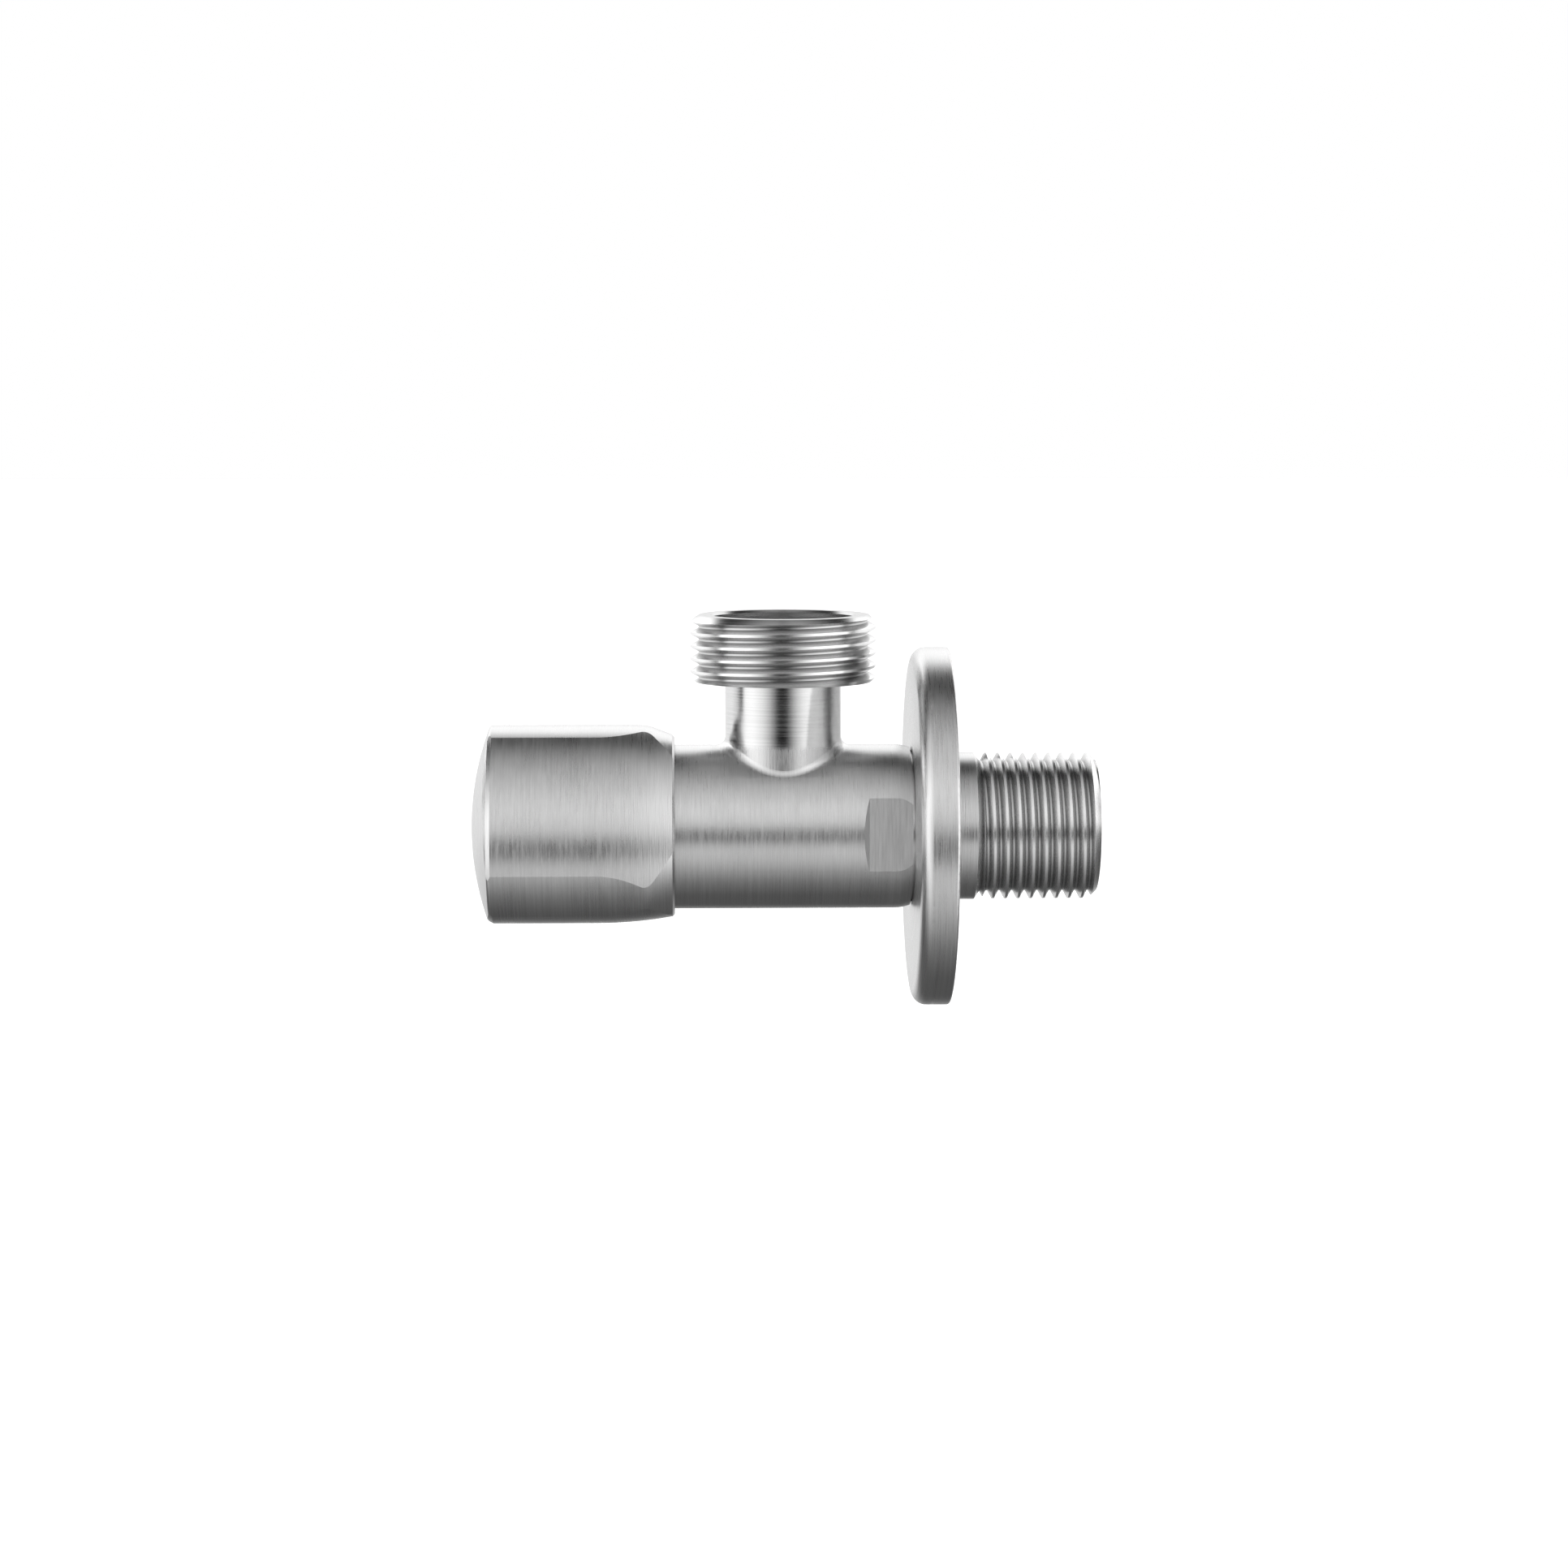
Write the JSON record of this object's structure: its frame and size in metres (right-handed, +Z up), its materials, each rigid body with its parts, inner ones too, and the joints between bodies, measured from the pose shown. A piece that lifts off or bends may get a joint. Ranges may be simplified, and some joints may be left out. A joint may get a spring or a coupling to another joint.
{
  "type": "angle stop valve",
  "caption": "Wall-mounted angle stop valve: threaded inlet nipple, sliding wall flange, barrel body, upward threaded outlet and quarter-turn handle with a ceramic-disc cartridge.",
  "frame": {"origin": "on the barrel's axis, in the plane of the body's shoulder where the inlet nipple starts", "axes": "+X along the barrel towards the wall, +Z up along the outlet, +Y across"},
  "size_m": [0.0893, 0.0514, 0.0561],
  "materials": {
    "body_steel": "brushed",
    "housing_brass": "machined",
    "housing_seal_rubber": "moulded",
    "cage_brass": "machined",
    "washer_plastic": "moulded",
    "fixed_ceramic": "lapped",
    "seat_rubber": "moulded",
    "spindle_brass": "machined",
    "clip_steel": "brushed",
    "inner_seal_rubber": "moulded",
    "outer_seal_rubber": "moulded",
    "carrier_plastic": "moulded",
    "moving_ceramic": "lapped",
    "handle_steel": "brushed",
    "insert_plastic": "moulded",
    "screw_steel": "brushed",
    "spring_steel": "brushed",
    "cap_steel": "brushed",
    "flange_steel": "brushed",
    "grip_rubber": "moulded"
  },
  "bodies": {
    "valve": {"valve_body": "body_steel", "cartridge_housing": "housing_brass", "housing_seal": "housing_seal_rubber", "cartridge_cage": "cage_brass", "thrust_washer": "washer_plastic", "fixed_disc": "fixed_ceramic", "seat_seal": "seat_rubber"},
    "handle": {"handle": "handle_steel", "handle_insert": "insert_plastic", "handle_screw": "screw_steel", "screw_washer": "spring_steel", "handle_cap": "cap_steel", "spindle": "spindle_brass", "spindle_clip": "clip_steel", "spindle_seal_inner": "inner_seal_rubber", "spindle_seal_outer": "outer_seal_rubber", "disc_carrier": "carrier_plastic", "moving_disc": "moving_ceramic"},
    "grip_ring": {"flange_grip_ring": "grip_rubber"},
    "flange": {"wall_flange": "flange_steel"}
  },
  "joints": [
    {"name": "handle_turn", "type": "hinge", "parent": "valve", "child": "handle", "pos_m": [-0.045, 0, 0], "axis": [-1, 0, 0], "range_deg": [0, 90]},
    {"name": "flange_slide", "type": "slide", "parent": "valve", "child": "grip_ring", "axis": [1, 0, 0], "range_m": [0, 0.0211]},
    {"name": "flange_spin", "type": "hinge", "parent": "grip_ring", "child": "flange", "pos_m": [0.0032, 0, 0], "axis": [1, 0, 0], "continuous": true}
  ]
}
